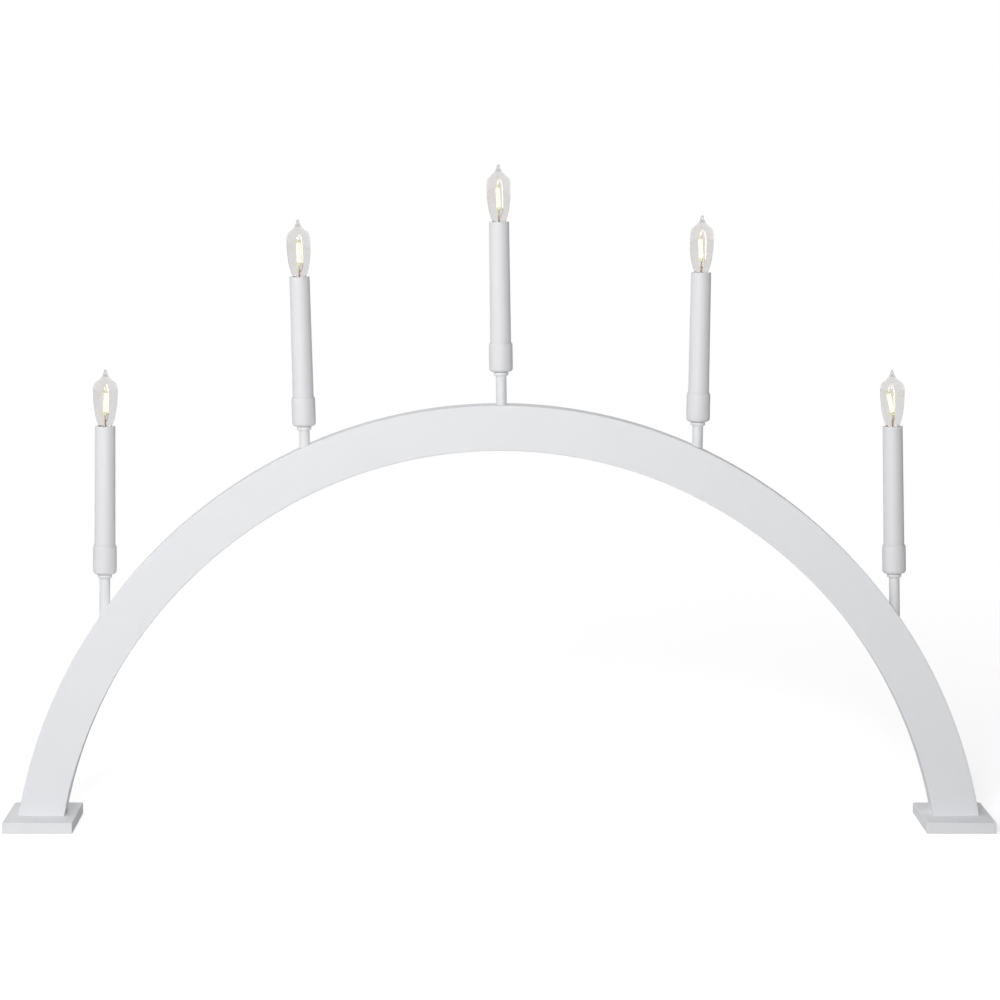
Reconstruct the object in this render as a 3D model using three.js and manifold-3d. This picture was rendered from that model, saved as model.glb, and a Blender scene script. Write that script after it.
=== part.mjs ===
// Window candlestick: a painted wooden arch on two foot plates, with five electric candles along its edge.
// Lengths are in millimetres and angles in degrees. X runs along the arch, +Y points to its rear and +Z up.
// The origin lies on the ground, midway between the two feet.

import * as THREE from 'three';
import { mergeVertices } from 'three/addons/utils/BufferGeometryUtils.js';
import Module from 'manifold-3d';

const wasm = await Module();
wasm.setup();

// Arch board: its outer edge is one arc over the crown and a flatter one down each side
const ARCH_HEIGHT = 283; // from the ground to the top of the crown
const CROWN_RADIUS = 315.3;
const CROWN_ANGLE = 28.5; // from the top of the crown to where the sides begin
const SIDE_RADIUS = 337.2;
const RAIL_WIDTH = 30; // of the board's face, from its outer to its inner edge
const BOARD_THICKNESS = 18;

// Foot plates, each held by one wood screw from below
const FOOT_WIDTH = 46.4; // along X
const FOOT_DEPTH = 60; // along Y
const FOOT_THICKNESS = 7.5;
const FOOT_SCREW_DIAMETER = 4;
const FOOT_SCREW_HEAD = 8;
const FOOT_SCREW_LENGTH = 34;

// Wiring channel in the rear of the board, its cover strip and the cord's way in
const LEAD_DIAMETER = 3;
const COVER_THICKNESS = 2.5;
const COVER_OVERLAP = 4.2; // of the cover past each side of the channel
const COVER_LAND = 20; // of the cover past each end of the channel, where its screw bites
const COVER_SCREW_DIAMETER = 2.5;
const COVER_SCREW_HEAD = 5;
const COVER_SCREW_LENGTH = 11;
const GLAND_DISTANCE = 40; // along the channel, from the last candle's lead
const GLAND_BORE = 6.5;
const GLAND_WALL = 1.5;
const GLAND_LENGTH = 4.5; // from the outer face of the cover inwards
const GLAND_LIP = 2; // of the flange around the body
const GLAND_FLANGE_THICKNESS = 2.5;

// Screw heads
const SCREW_SINK = 0.5; // of the head below the face around it
const SCREW_POINT = 4; // length of the point
const RECESS_WIDTH = 1; // of each slot of the cross recess
const RECESS_DEPTH = 1.2;
const RECESS_SPAN = 0.6; // of the recess, as a share of the head

// Places of the candles around the arch, from the crown
const OUTER_ANGLE = 54.23;
const INNER_ANGLE = 24.33;

// The candles from left to right: rise is from the board to the underside of the cup, lean tilts the axis
// to the right, and turn is the way the lamp faces once it is screwed home
const CANDLES = [
  { angle: -OUTER_ANGLE, rise: 23.9, lean: 0.9, turn: -95 },
  { angle: -INNER_ANGLE, rise: 13.3, lean: -1.5, turn: -85 },
  { angle: 0, rise: 21.6, lean: -1, turn: -75 },
  { angle: INNER_ANGLE, rise: 16.9, lean: 0.5, turn: -70 },
  { angle: OUTER_ANGLE, rise: 25.1, lean: -1.8, turn: 0 },
];

// Stem, lock nut and cup
const STEM_WALL = 1.4;
const STEM_SEAT = 8; // into the board, square to its edge
const LEAD_PLAY = 0.6; // between the lead and the bore of the stem
const NUT_WALL = 0.95;
const NUT_HEIGHT = 2.2;
const CUP_WALL = 0.55;
const CUP_HEIGHT = 19;
const CUP_FLOOR = 2.2;
const CUP_ROUND = 2.3; // radius of the lower edge
const CUP_CHAMFER = 0.4; // of the upper edge

// Candle sleeve
const CANDLE_HEIGHT = 98.5; // from the underside of the cup to the rim of the sleeve
const SLEEVE_WALL = 0.88; // around the upper end of the socket, which is pushed in from below
const LIP_PLAY = 0.4; // between the lamp's cap and the lip of the sleeve, which stops the socket
const SLEEVE_TAPER = 0.7; // by which the base is wider than the rim
const SLEEVE_BOSS = 10; // height of the boss that grips the stem
const SLEEVE_ROUND = 0.4; // of the rim

// Screw thread of lamp and socket, size E10
const THREAD_PITCH = 1.814;
const THREAD_DIAMETER = 9.53; // over the crests of the cap
const THREAD_DEPTH = 0.51;
const THREAD_FIT = 0.15; // radial play of the cap in its socket

// Lamp socket, measured down from the rim of the sleeve
const SHELL_WALL = 0.25;
const SHELL_SETBACK = 2.5;
const SHELL_THREAD = 7.6; // threaded length, from the upper end
const CONTACT_DIAMETER = 3;
const CONTACT_HEIGHT = 1;
const PLUG_THICKNESS = 2; // of the insulating plug below the contact

// Lamp cap and solder tip
const CAP_SETBACK = 2; // of the cap's upper end below the rim of the sleeve
const CAP_LENGTH = 8.6;
const CAP_WALL = 0.55; // at the root of the thread
const CAP_FLOOR = 0.8;
const CAP_EYE = 4.4; // hole in the floor for the insulator
const CAP_COLLAR = 1.2; // plain length above the thread
const CAP_LEAD_IN = 0.8; // plain length below the thread
const THREAD_RUN = 0.9; // over which the thread rises from its root
const INSULATOR_DIAMETER = 7;
const INSULATOR_THICKNESS = 1.6;
const SOLDER_DIAMETER = 3.2;
const SOLDER_HEIGHT = 0.9;

// Glass bulb: heights above the rim of the sleeve
const GLASS_DIAMETER = 16;
const GLASS_WALL = 0.6;
const NECK_INSERT = 5; // of the neck below the rim
const FLARE_DIAMETER = 12.8; // these two set how fast the neck opens
const FLARE_HEIGHT = 2.8;
const BELLY_HEIGHT = 12.6; // and this one how full the bulb is below its widest place
const WIDEST_HEIGHT = 24;
const ROUND_RISE = 4.6; // from the widest place to the round of the shoulder
const SHOULDER_RISE = 6.8; // and to where the shoulder turns hollow
const SHOULDER_DIAMETER = 8.2;
const SHOULDER_REACH = 1.5; // length of the slope on either side of that place
const PIP_DIAMETER = 2.2;
const PIP_RISE = 3.6; // from the hollow of the shoulder to the pip
const PIP_LENGTH = 1.3;
const PIP_POINT = 1.6;

// Mount inside the bulb: glass foot, two wires and the light filament, in the plane of the lamp's front
const FOOT_GLASS_FLANGE = 0.8;
const PRESS_DIAMETER = 2;
const PRESS_BASE = -2; // heights of the press that holds the wires
const PRESS_HEIGHT = 4;
const MOUNT_WIRE_DIAMETER = 0.6;
const FILAMENT_DIAMETER = 1.8;
const FILAMENT_FOOT = [0.2, 0, 7];
const FILAMENT_HEAD = [-2.9, 0, 23.8];
const SUPPORT_WIRE = [[0.4, 0.4, 3], [1.5, 2, 6.5], [1.6, 2.2, 15], [1.4, 2, 24], [-0.6, 0.8, 27]];

// Clearances
const FIT = 0.3; // between a piece and what it sits in or on
const OVERCUT = 1; // of a cutter past the face that it opens

// Fineness of the round faces
const ARCH_STEPS = 48;
const CHANNEL_STEPS = 36;
const HOLE_SIDES = 16;
const STEM_SIDES = 12;
const CUP_SIDES = 16;
const ROUND_STEPS = 3;
const THREAD_SIDES = 10;
const THREAD_ROWS = 4; // in one pitch
const GLASS_SIDES = 18;
const GLASS_STEPS = 5; // in each curve of the bulb's outline
const LEAD_SIDES = 6;
const WIRE_SIDES = 5;
const WIRE_STEPS = 6;
const MERGE_DISTANCE = 1e-3;

// Places worked out from the sizes above
const CROWN_CENTRE = ARCH_HEIGHT - CROWN_RADIUS; // height of the centre of the crown's arc
const CHANNEL_INSET = RAIL_WIDTH / 2; // of the middle of the wiring channel, from the outer edge
const REAR = BOARD_THICKNESS / 2;
const STEM_BORE = LEAD_DIAMETER + 2 * LEAD_PLAY;
const STEM_DIAMETER = STEM_BORE + 2 * STEM_WALL;
const STEM_HOLE = STEM_DIAMETER + 2 * FIT;
const GLAND_DIAMETER = GLAND_BORE + 2 * GLAND_WALL;
const CHANNEL_WIDTH = GLAND_DIAMETER + 2 * FIT;
const COVER_WIDTH = CHANNEL_WIDTH + 2 * COVER_OVERLAP;
const LAST_LEAD = Math.max(...CANDLES.map((candle) => Math.abs(leadAngle(candle))));
const GLAND_ANGLE = LAST_LEAD + arcAngle(GLAND_DISTANCE);
const CHANNEL_END = GLAND_ANGLE + arcAngle(GLAND_DIAMETER);
const COVER_END = CHANNEL_END + arcAngle(COVER_LAND);
const COVER_SCREW_ANGLE = CHANNEL_END + arcAngle(COVER_LAND / 2);
const LEG_MIDDLE = (archPoint(0, legAngle(0)).x + archPoint(RAIL_WIDTH, legAngle(RAIL_WIDTH)).x) / 2;
const CAP_TOP = -CAP_SETBACK;
const CAP_BOTTOM = CAP_TOP - CAP_LENGTH;
const TIP_BOTTOM = CAP_BOTTOM - FIT - INSULATOR_THICKNESS - SOLDER_HEIGHT;
const PLUG_TOP = TIP_BOTTOM - FIT - CONTACT_HEIGHT;
const PLUG_BOTTOM = PLUG_TOP - PLUG_THICKNESS;
const THREAD_ROOT = THREAD_DIAMETER - 2 * THREAD_DEPTH;
const THREAD_SPREAD = 1 / Math.cos(Math.PI / THREAD_SIDES); // of a bore's corners, so that its flats clear
const SHELL_BORE = (THREAD_DIAMETER + 2 * THREAD_FIT) * THREAD_SPREAD;
const SHELL_DIAMETER = SHELL_BORE + 2 * SHELL_WALL;
const SOCKET_BORE = SHELL_DIAMETER + 2 * FIT;
const LIP_BORE = THREAD_DIAMETER + 2 * LIP_PLAY;
const LIP_DEPTH = SHELL_SETBACK - FIT;
const SLEEVE_RIM_DIAMETER = SOCKET_BORE + 2 * SLEEVE_WALL;
const SLEEVE_BASE_DIAMETER = SLEEVE_RIM_DIAMETER + SLEEVE_TAPER;
const CUP_BORE = SLEEVE_BASE_DIAMETER + 2 * FIT;
const CUP_DIAMETER = CUP_BORE + 2 * CUP_WALL;
const CAP_BORE = THREAD_ROOT - 2 * CAP_WALL;
const NECK_DIAMETER = CAP_BORE - 2 * FIT;
const ROUND_HEIGHT = WIDEST_HEIGHT + ROUND_RISE;
const SHOULDER_HEIGHT = WIDEST_HEIGHT + SHOULDER_RISE;
const PIP_BASE = SHOULDER_HEIGHT + PIP_RISE;
const PIP_TOP = PIP_BASE + PIP_LENGTH;

// Finishes of the pieces
const WHITE_PAINT = { color: 0xf1f2f3, roughness: 0.55, metalness: 0 };
const WHITE_METAL = { color: 0xeff0f1, roughness: 0.45, metalness: 0 };
const WHITE_PLASTIC = { color: 0xf0f0f0, roughness: 0.4, metalness: 0 };
const DARK_PLASTIC = { color: 0x2b2a29, roughness: 0.5, metalness: 0 };
const BRASS = { color: 0xc9a556, roughness: 0.3, metalness: 1 };
const STEEL = { color: 0xb9babb, roughness: 0.35, metalness: 1 };
const LEAD_SHEATH = { color: 0xe6e6e4, roughness: 0.6, metalness: 0 };
const CLEAR_GLASS = { color: 0xf4f6f6, roughness: 0.05, metalness: 0, transparent: true, opacity: 0.35 };
const WARM_LIGHT = { color: 0xffe2a8, roughness: 0.4, metalness: 0, emissive: 0xffc864 };

// Geometry helpers

// The angle that a length takes up along the channel, on a side of the arch.
function arcAngle(length) {
  return THREE.MathUtils.radToDeg(length / (SIDE_RADIUS - CHANNEL_INSET));
}

// The arc of the outer edge on the left (-1) or right (1) side of the arch: its radius and centre.
function sideArc(sign) {
  const turn = THREE.MathUtils.degToRad(CROWN_ANGLE);
  const shift = SIDE_RADIUS - CROWN_RADIUS;
  return { radius: SIDE_RADIUS, x: -sign * shift * Math.sin(turn), z: CROWN_CENTRE - shift * Math.cos(turn) };
}

// The arc of the outer edge whose radius stands at the given angle from the vertical.
function arcAt(angle) {
  if (Math.abs(angle) <= CROWN_ANGLE) {
    return { radius: CROWN_RADIUS, x: 0, z: CROWN_CENTRE };
  }
  return sideArc(Math.sign(angle));
}

// A point on that radius, inside the outer edge by the given inset.
function archPoint(inset, angle) {
  const { radius, x, z } = arcAt(angle);
  const turn = THREE.MathUtils.degToRad(angle);
  return new THREE.Vector3(x + (radius - inset) * Math.sin(turn), 0, z + (radius - inset) * Math.cos(turn));
}

// The angle at which a leg, inside the outer edge by the given inset, stands on its foot.
function legAngle(inset) {
  const { radius, z } = sideArc(1);
  return THREE.MathUtils.radToDeg(Math.acos((FOOT_THICKNESS - z) / (radius - inset)));
}

// How far below the board's edge a candle's axis reaches the given inset.
function axisDepth(candle, inset) {
  const { radius } = arcAt(candle.angle);
  const along = radius * Math.cos(THREE.MathUtils.degToRad(candle.angle - candle.lean));
  return along - Math.sqrt(along ** 2 - radius ** 2 + (radius - inset) ** 2);
}

// The angle at which a candle's lead joins the one in the channel.
function leadAngle(candle) {
  const { radius } = arcAt(candle.angle);
  const lean = THREE.MathUtils.degToRad(candle.lean);
  const angle = THREE.MathUtils.degToRad(candle.angle);
  const across = radius * Math.sin(angle) - axisDepth(candle, CHANNEL_INSET) * Math.sin(lean);
  return THREE.MathUtils.radToDeg(Math.asin(across / (radius - CHANNEL_INSET)));
}

// A closed solid of revolution around Z from [diameter, height] pairs, up the outside and down the inside.
function turned(profile, sides) {
  const points = profile.map(([diameter, height]) => new THREE.Vector2(diameter / 2, height));
  return new THREE.LatheGeometry(points, sides).rotateX(Math.PI / 2);
}

// The same with a hole through it: the profile closes on itself.
function turnedRing(profile, sides) {
  return turned([...profile, profile[0]], sides);
}

function rod(diameter, from, to, sides) {
  return turned([[0, from], [diameter, from], [diameter, to], [0, to]], sides);
}

function toSolid(geometry) {
  const bare = geometry.clone();
  bare.deleteAttribute('normal');
  bare.deleteAttribute('uv');
  const merged = mergeVertices(bare, MERGE_DISTANCE);
  const vertProperties = merged.getAttribute('position').array;
  const triVerts = new Uint32Array(merged.index.array);
  return new wasm.Manifold(new wasm.Mesh({ numProp: 3, vertProperties, triVerts }));
}

function toGeometry(solid) {
  const mesh = solid.getMesh();
  const geometry = new THREE.BufferGeometry();
  geometry.setAttribute('position', new THREE.BufferAttribute(mesh.vertProperties, 3));
  geometry.setIndex(new THREE.BufferAttribute(mesh.triVerts, 1));
  geometry.computeVertexNormals();
  return geometry;
}

function cut(geometry, cutters) {
  return toGeometry(cutters.reduce((solid, cutter) => solid.subtract(toSolid(cutter)), toSolid(geometry)));
}

function join(geometries) {
  return toGeometry(geometries.map(toSolid).reduce((solid, next) => solid.add(next)));
}

function piece(name, geometry, finish) {
  const mesh = new THREE.Mesh(geometry, new THREE.MeshStandardMaterial(finish));
  mesh.name = name;
  return mesh;
}

// Points from left to right along an edge, up to the given angle on either side.
function edgePoints(inset, endAngle, steps) {
  const points = [];
  for (let step = 0; step <= steps; step += 1) {
    const { x, z } = archPoint(inset, THREE.MathUtils.lerp(-endAngle, endAngle, step / steps));
    points.push(new THREE.Vector2(x, z));
  }
  return points;
}

// A flat arch between an outer and an inner edge, thick along Y.
function archSlab(outerEdge, innerEdge, rear, thickness) {
  const shape = new THREE.Shape([...outerEdge, ...innerEdge.reverse()]);
  const settings = { depth: thickness, bevelEnabled: false };
  return new THREE.ExtrudeGeometry(shape, settings).rotateX(Math.PI / 2).translate(0, rear, 0);
}

// A strip of such an arch along the wiring channel, ending square.
function channelStrip(width, endAngle, rear, thickness) {
  const outer = edgePoints(CHANNEL_INSET - width / 2, endAngle, CHANNEL_STEPS);
  const inner = edgePoints(CHANNEL_INSET + width / 2, endAngle, CHANNEL_STEPS);
  return archSlab(outer, inner, rear, thickness);
}

class ArchCurve extends THREE.Curve {
  constructor(inset, fromAngle, toAngle) {
    super();
    this.inset = inset;
    this.fromAngle = fromAngle;
    this.toAngle = toAngle;
  }

  getPoint(t, target = new THREE.Vector3()) {
    return target.copy(archPoint(this.inset, THREE.MathUtils.lerp(this.fromAngle, this.toAngle, t)));
  }
}

function tubeAlong(curve, diameter, sides, steps) {
  const section = new THREE.Shape();
  for (let side = 0; side < sides; side += 1) {
    const turn = (2 * Math.PI * side) / sides;
    const x = (diameter / 2) * Math.cos(turn);
    const y = (diameter / 2) * Math.sin(turn);
    if (side === 0) {
      section.moveTo(x, y);
    } else {
      section.lineTo(x, y);
    }
  }
  return new THREE.ExtrudeGeometry(section, { steps, bevelEnabled: false, extrudePath: curve });
}

// Screws

// A countersunk screw that stands on the flat of its head and points along +Z.
function screw(diameter, head, length) {
  const neck = (head - diameter) / 2;
  const shape = [[0, 0], [head, 0], [diameter, neck], [diameter, length - SCREW_POINT], [0, length]];
  const slot = new THREE.BoxGeometry(head * RECESS_SPAN, RECESS_WIDTH, 2 * RECESS_DEPTH);
  return cut(turned(shape, STEM_SIDES), [slot, slot.clone().rotateZ(Math.PI / 2)]);
}

// The hole for such a screw, open below its head.
function screwHole(diameter, head, length) {
  const neck = (head - diameter) / 2;
  const wideHead = head + 2 * FIT;
  const wideShank = diameter + 2 * FIT;
  const bottom = -SCREW_SINK - OVERCUT;
  const top = length + FIT;
  const countersink = [[0, bottom], [wideHead, bottom], [wideHead, 0], [wideShank, neck]];
  return turned([...countersink, [wideShank, top], [0, top]], STEM_SIDES);
}

const footScrew = () => screw(FOOT_SCREW_DIAMETER, FOOT_SCREW_HEAD, FOOT_SCREW_LENGTH);
const footScrewHole = () => screwHole(FOOT_SCREW_DIAMETER, FOOT_SCREW_HEAD, FOOT_SCREW_LENGTH);
const coverScrew = () => screw(COVER_SCREW_DIAMETER, COVER_SCREW_HEAD, COVER_SCREW_LENGTH);
const coverScrewHole = () => screwHole(COVER_SCREW_DIAMETER, COVER_SCREW_HEAD, COVER_SCREW_LENGTH);

// Places of the screws; a cover screw points from the rear into the board.
function footScrewPlace(side) {
  return new THREE.Matrix4().makeTranslation(side * LEG_MIDDLE, 0, SCREW_SINK);
}

function coverScrewPlace(side) {
  const point = archPoint(CHANNEL_INSET, side * COVER_SCREW_ANGLE);
  const place = new THREE.Matrix4().makeTranslation(point.x, REAR - SCREW_SINK, point.z);
  return place.multiply(new THREE.Matrix4().makeRotationX(Math.PI / 2));
}

// Candle places

function candlePlace(candle) {
  const place = new THREE.Matrix4().setPosition(archPoint(0, candle.angle));
  return place.multiply(new THREE.Matrix4().makeRotationY(THREE.MathUtils.degToRad(candle.lean)));
}

const rimHeight = (candle) => candle.rise + CANDLE_HEIGHT;

// Arch, cover and feet

const SIDES = [{ name: 'left', sign: -1 }, { name: 'right', sign: 1 }];

function archFrame() {
  const outer = edgePoints(0, legAngle(0), ARCH_STEPS);
  const inner = edgePoints(RAIL_WIDTH, legAngle(RAIL_WIDTH), ARCH_STEPS);
  const board = archSlab(outer, inner, REAR, BOARD_THICKNESS);
  const rebateWidth = COVER_WIDTH + 2 * FIT;
  const rebateEnd = COVER_END + arcAngle(FIT);
  const rebate = channelStrip(rebateWidth, rebateEnd, REAR + OVERCUT, COVER_THICKNESS + OVERCUT);
  const channelDepth = REAR + LEAD_DIAMETER / 2 + FIT;
  const channel = channelStrip(CHANNEL_WIDTH, CHANNEL_END, REAR + OVERCUT, channelDepth + OVERCUT);
  const stemHoles = CANDLES.map((candle) => {
    const depth = axisDepth(candle, CHANNEL_INSET);
    const hole = rod(STEM_HOLE, -depth, STEM_DIAMETER + OVERCUT, HOLE_SIDES);
    return hole.applyMatrix4(candlePlace(candle));
  });
  const screwHoles = SIDES.flatMap(({ sign }) => [
    footScrewHole().applyMatrix4(footScrewPlace(sign)),
    coverScrewHole().applyMatrix4(coverScrewPlace(sign)),
  ]);
  return piece('arch_frame', cut(board, [rebate, channel, ...stemHoles, ...screwHoles]), WHITE_PAINT);
}

function rearCover() {
  const strip = channelStrip(COVER_WIDTH, COVER_END, REAR, COVER_THICKNESS);
  const screwHoles = SIDES.map(({ sign }) => coverScrewHole().applyMatrix4(coverScrewPlace(sign)));
  const eye = rod(GLAND_DIAMETER + 2 * FIT, -OVERCUT, COVER_THICKNESS + OVERCUT, HOLE_SIDES);
  const place = archPoint(CHANNEL_INSET, GLAND_ANGLE);
  eye.rotateX(Math.PI / 2).translate(place.x, REAR, place.z);
  return piece('rear_cover', cut(strip, [...screwHoles, eye]), WHITE_PAINT);
}

// The gland is a flanged bush whose flange lies on the outer face of the cover.
function cordGland() {
  const place = archPoint(CHANNEL_INSET, GLAND_ANGLE);
  const flange = GLAND_DIAMETER + 2 * GLAND_LIP;
  const bush = turnedRing([
    [GLAND_BORE, -GLAND_FLANGE_THICKNESS],
    [flange, -GLAND_FLANGE_THICKNESS],
    [flange, 0],
    [GLAND_DIAMETER, 0],
    [GLAND_DIAMETER, GLAND_LENGTH],
    [GLAND_BORE, GLAND_LENGTH],
  ], HOLE_SIDES);
  return piece('cord_gland', bush.rotateX(Math.PI / 2).translate(place.x, REAR, place.z), WHITE_PLASTIC);
}

function foot({ name, sign }) {
  const plate = new THREE.BoxGeometry(FOOT_WIDTH, FOOT_DEPTH, FOOT_THICKNESS);
  plate.translate(sign * LEG_MIDDLE, 0, FOOT_THICKNESS / 2);
  const hole = footScrewHole().applyMatrix4(footScrewPlace(sign));
  return piece(`foot_${name}`, cut(plate, [hole]), WHITE_PAINT);
}

// One lead runs along the channel from the gland to the furthest candle, with a branch up each candle.
function wiringHarness() {
  const end = -LAST_LEAD - arcAngle(LEAD_DIAMETER);
  const route = new ArchCurve(CHANNEL_INSET, end, GLAND_ANGLE);
  const trunk = tubeAlong(route, LEAD_DIAMETER, LEAD_SIDES, CHANNEL_STEPS);
  const branches = CANDLES.map((candle) => {
    const bottom = -axisDepth(candle, CHANNEL_INSET);
    const top = rimHeight(candle) + PLUG_BOTTOM - FIT;
    return rod(LEAD_DIAMETER, bottom, top, LEAD_SIDES).applyMatrix4(candlePlace(candle));
  });
  return piece('wiring_harness', join([trunk, ...branches]), LEAD_SHEATH);
}

// Candle, around its own axis: height 0 is the edge of the board

function stem(candle) {
  const bottom = -axisDepth(candle, STEM_SEAT);
  const top = candle.rise + CUP_FLOOR + SLEEVE_BOSS;
  return turnedRing([
    [STEM_BORE, bottom],
    [STEM_DIAMETER, bottom],
    [STEM_DIAMETER, top],
    [STEM_BORE, top],
  ], STEM_SIDES);
}

function lockNut(candle) {
  const top = candle.rise - FIT;
  const bottom = top - NUT_HEIGHT;
  const nut = STEM_HOLE + 2 * NUT_WALL;
  return turnedRing([[STEM_HOLE, bottom], [nut, bottom], [nut, top], [STEM_HOLE, top]], STEM_SIDES);
}

function cup(candle) {
  const round = [];
  for (let step = 0; step <= ROUND_STEPS; step += 1) {
    const turn = (Math.PI / 2) * (step / ROUND_STEPS);
    const diameter = CUP_DIAMETER - 2 * CUP_ROUND * (1 - Math.sin(turn));
    round.push([diameter, CUP_ROUND * (1 - Math.cos(turn))]);
  }
  const shape = turnedRing([
    [STEM_HOLE, 0],
    ...round,
    [CUP_DIAMETER, CUP_HEIGHT - CUP_CHAMFER],
    [CUP_DIAMETER - 2 * CUP_CHAMFER, CUP_HEIGHT],
    [CUP_BORE, CUP_HEIGHT],
    [CUP_BORE, CUP_FLOOR],
    [STEM_HOLE, CUP_FLOOR],
  ], CUP_SIDES);
  return shape.translate(0, 0, candle.rise);
}

function sleeve(candle) {
  const bottom = candle.rise + CUP_FLOOR + FIT;
  const rim = rimHeight(candle);
  const boss = bottom + SLEEVE_BOSS;
  return turnedRing([
    [STEM_HOLE, bottom],
    [SLEEVE_BASE_DIAMETER, bottom],
    [SLEEVE_RIM_DIAMETER, rim - SLEEVE_ROUND],
    [SLEEVE_RIM_DIAMETER - 2 * SLEEVE_ROUND, rim],
    [LIP_BORE, rim],
    [LIP_BORE, rim - LIP_DEPTH],
    [SOCKET_BORE, rim - LIP_DEPTH],
    [SOCKET_BORE, boss],
    [STEM_HOLE, boss],
  ], CUP_SIDES);
}

// Lamp and socket, around the candle's axis: height 0 is the rim of the sleeve

// How far the thread stands out of its root at a place on its cylinder, from 0 to 1; it climbs right-handed.
function threadShare(height, around) {
  return (1 + Math.cos((2 * Math.PI * height) / THREAD_PITCH - around)) / 2;
}

// A threaded rod. Its sides are set out by the given spread, and its thread is scaled by the given share.
function threadedRod(play, bottom, top, spread, shareAt) {
  const length = top - bottom;
  const rows = Math.ceil((length / THREAD_PITCH) * THREAD_ROWS);
  const shape = new THREE.CylinderGeometry(1, 1, length, THREAD_SIDES, rows);
  shape.rotateX(Math.PI / 2).translate(0, 0, (bottom + top) / 2);
  const places = shape.getAttribute('position');
  for (let index = 0; index < places.count; index += 1) {
    const x = places.getX(index);
    const y = places.getY(index);
    const z = places.getZ(index);
    const share = threadShare(z, Math.atan2(y, x)) * shareAt(z);
    const radius = (THREAD_ROOT / 2 + play + THREAD_DEPTH * share) * spread;
    places.setXY(index, x * radius, y * radius);
  }
  return shape;
}

function socketShell() {
  const bottom = PLUG_TOP + FIT;
  const top = -SHELL_SETBACK;
  const threadBottom = top - SHELL_THREAD;
  const tap = threadedRod(THREAD_FIT, threadBottom, top + THREAD_PITCH, THREAD_SPREAD, () => 1);
  const relief = rod(SHELL_BORE, bottom - OVERCUT, threadBottom + FIT, THREAD_SIDES);
  return cut(rod(SHELL_DIAMETER, bottom, top, THREAD_SIDES), [tap, relief]);
}

function socketContact() {
  return turned([
    [0, PLUG_BOTTOM],
    [SHELL_DIAMETER, PLUG_BOTTOM],
    [SHELL_DIAMETER, PLUG_TOP],
    [CONTACT_DIAMETER, PLUG_TOP],
    [CONTACT_DIAMETER, PLUG_TOP + CONTACT_HEIGHT],
    [0, PLUG_TOP + CONTACT_HEIGHT],
  ], STEM_SIDES);
}

function lampCap() {
  const threadTop = CAP_TOP - CAP_COLLAR;
  const threadBottom = CAP_BOTTOM + CAP_LEAD_IN;
  const rise = (height) => THREE.MathUtils.smoothstep(height, threadBottom, threadBottom + THREAD_RUN);
  const fall = (height) => 1 - THREE.MathUtils.smoothstep(height, threadTop - THREAD_RUN, threadTop);
  const body = threadedRod(0, CAP_BOTTOM, CAP_TOP, 1, (height) => rise(height) * fall(height));
  const bore = rod(CAP_BORE, CAP_BOTTOM + CAP_FLOOR, CAP_TOP + OVERCUT, THREAD_SIDES);
  const eye = rod(CAP_EYE, CAP_BOTTOM - OVERCUT, CAP_TOP, THREAD_SIDES);
  return cut(body, [bore, eye]);
}

function lampTip() {
  const top = CAP_BOTTOM - FIT;
  const bottom = top - INSULATOR_THICKNESS;
  const spigot = CAP_EYE - 2 * FIT;
  return turned([
    [0, TIP_BOTTOM],
    [SOLDER_DIAMETER / 2, TIP_BOTTOM],
    [SOLDER_DIAMETER, bottom],
    [INSULATOR_DIAMETER, top],
    [spigot, top],
    [spigot, CAP_BOTTOM + CAP_FLOOR],
    [0, CAP_BOTTOM + CAP_FLOOR],
  ], STEM_SIDES);
}

function curvePoints(places, steps) {
  const points = places.map(([diameter, height]) => new THREE.Vector2(diameter, height));
  return new THREE.CubicBezierCurve(...points).getPoints(steps).map(({ x, y }) => [x, y]);
}

// Outline of the bulb from the neck up to the pip, narrower by the given trim
function bulbOutline(trim, end) {
  const neck = NECK_DIAMETER - trim;
  const widest = GLASS_DIAMETER - trim;
  const shoulder = SHOULDER_DIAMETER - trim;
  return [
    [neck, -NECK_INSERT],
    ...curvePoints([
      [neck, CAP_TOP],
      [FLARE_DIAMETER - trim, FLARE_HEIGHT],
      [widest, BELLY_HEIGHT],
      [widest, WIDEST_HEIGHT],
    ], GLASS_STEPS),
    ...curvePoints([
      [widest, WIDEST_HEIGHT],
      [widest, ROUND_HEIGHT],
      [shoulder + 2 * SHOULDER_REACH, SHOULDER_HEIGHT - SHOULDER_REACH],
      [shoulder, SHOULDER_HEIGHT],
    ], GLASS_STEPS).slice(1),
    ...curvePoints([
      [shoulder, SHOULDER_HEIGHT],
      [shoulder - 2 * SHOULDER_REACH, SHOULDER_HEIGHT + SHOULDER_REACH],
      [PIP_DIAMETER - trim, PIP_BASE],
      end,
    ], GLASS_STEPS).slice(1),
  ];
}

function lampGlass() {
  const inside = bulbOutline(2 * GLASS_WALL, [0, PIP_BASE]);
  const outside = bulbOutline(0, [PIP_DIAMETER, PIP_TOP]);
  return turned([...inside.reverse(), ...outside, [0, PIP_TOP + PIP_POINT]], GLASS_SIDES);
}

function mountWire(places, diameter, steps) {
  const points = places.map((place) => new THREE.Vector3(...place));
  return tubeAlong(new THREE.CatmullRomCurve3(points), diameter, WIRE_SIDES, steps);
}

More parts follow.
